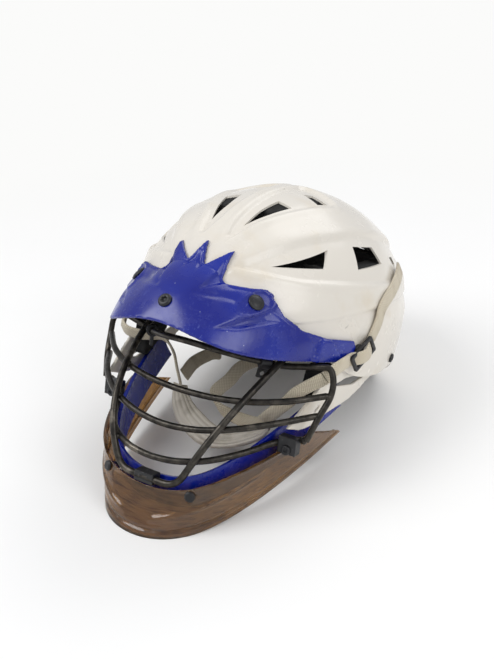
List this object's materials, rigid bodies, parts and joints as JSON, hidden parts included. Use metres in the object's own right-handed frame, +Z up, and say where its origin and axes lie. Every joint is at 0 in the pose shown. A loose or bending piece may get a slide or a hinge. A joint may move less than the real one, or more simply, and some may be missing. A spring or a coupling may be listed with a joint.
{
  "type": "lacrosse helmet",
  "caption": "Vented lacrosse helmet with a visor, wire face mask, chin and throat guards, foam liner and a four-point chin strap with cup.",
  "frame": {"origin": "centre of the footprint box on the table that the helmet rests on", "axes": "+Z up, the face opening looks along -Y, +X to the wearer's left"},
  "size_m": [0.2346, 0.3789, 0.2103],
  "materials": {
    "shell_white": "glossy off-white, lightly worn",
    "visor_blue": "deep glossy blue with fine scratches",
    "mask_metal": "dark bronze coated wire",
    "throat_clear": "clear smoke plastic",
    "foam_black": "matt black foam",
    "strap_cream": "woven cream webbing",
    "cup_grey": "ribbed soft grey-white cup",
    "fitting_black": "matt black plastic"
  },
  "bodies": {
    "helmet": {"brow_clip_left": "fitting_black", "brow_clip_right": "fitting_black", "chin_clip": "fitting_black", "chin_guard": "visor_blue", "crown_pad": "foam_black", "flap_screw_left": "fitting_black", "flap_screw_right": "fitting_black", "front_pad": "foam_black", "jaw_flap_left": "shell_white", "jaw_flap_right": "shell_white", "jaw_pad_left": "foam_black", "jaw_pad_right": "foam_black", "lower_strap_left": "strap_cream", "lower_strap_right": "strap_cream", "mask_bar_lower": "mask_metal", "mask_bar_middle": "mask_metal", "mask_bar_upper": "mask_metal", "mask_rim_wire": "mask_metal", "mask_u_wire": "mask_metal", "outer_strap_left": "strap_cream", "outer_strap_right": "strap_cream", "rear_pad": "foam_black", "rear_snap_left": "fitting_black", "rear_snap_right": "fitting_black", "shell": "shell_white", "side_clip_left": "fitting_black", "side_clip_right": "fitting_black", "side_clip_screw_left": "fitting_black", "side_clip_screw_right": "fitting_black", "side_pad_left": "foam_black", "side_pad_right": "foam_black", "strap_buckle_left": "fitting_black", "strap_buckle_right": "fitting_black", "strap_snap_left": "fitting_black", "strap_snap_right": "fitting_black", "tail_strap_left": "strap_cream", "tail_strap_right": "strap_cream", "throat_guard": "throat_clear", "throat_screw_left": "fitting_black", "throat_screw_right": "fitting_black", "visor": "visor_blue", "visor_cap_left": "fitting_black", "visor_cap_right": "fitting_black", "visor_centre_screw": "fitting_black"},
    "chin_strap": {"chin_cup": "cup_grey", "upper_strap_left": "strap_cream", "upper_strap_right": "strap_cream"}
  },
  "joints": [
    {"name": "chin_strap_swing", "type": "hinge", "parent": "helmet", "child": "chin_strap", "pos_m": [0, -0.05619, 0.09829], "axis": [1, 0, 0], "range_deg": [-10, 10], "deforming": ["lower_strap_left", "lower_strap_right"]}
  ]
}
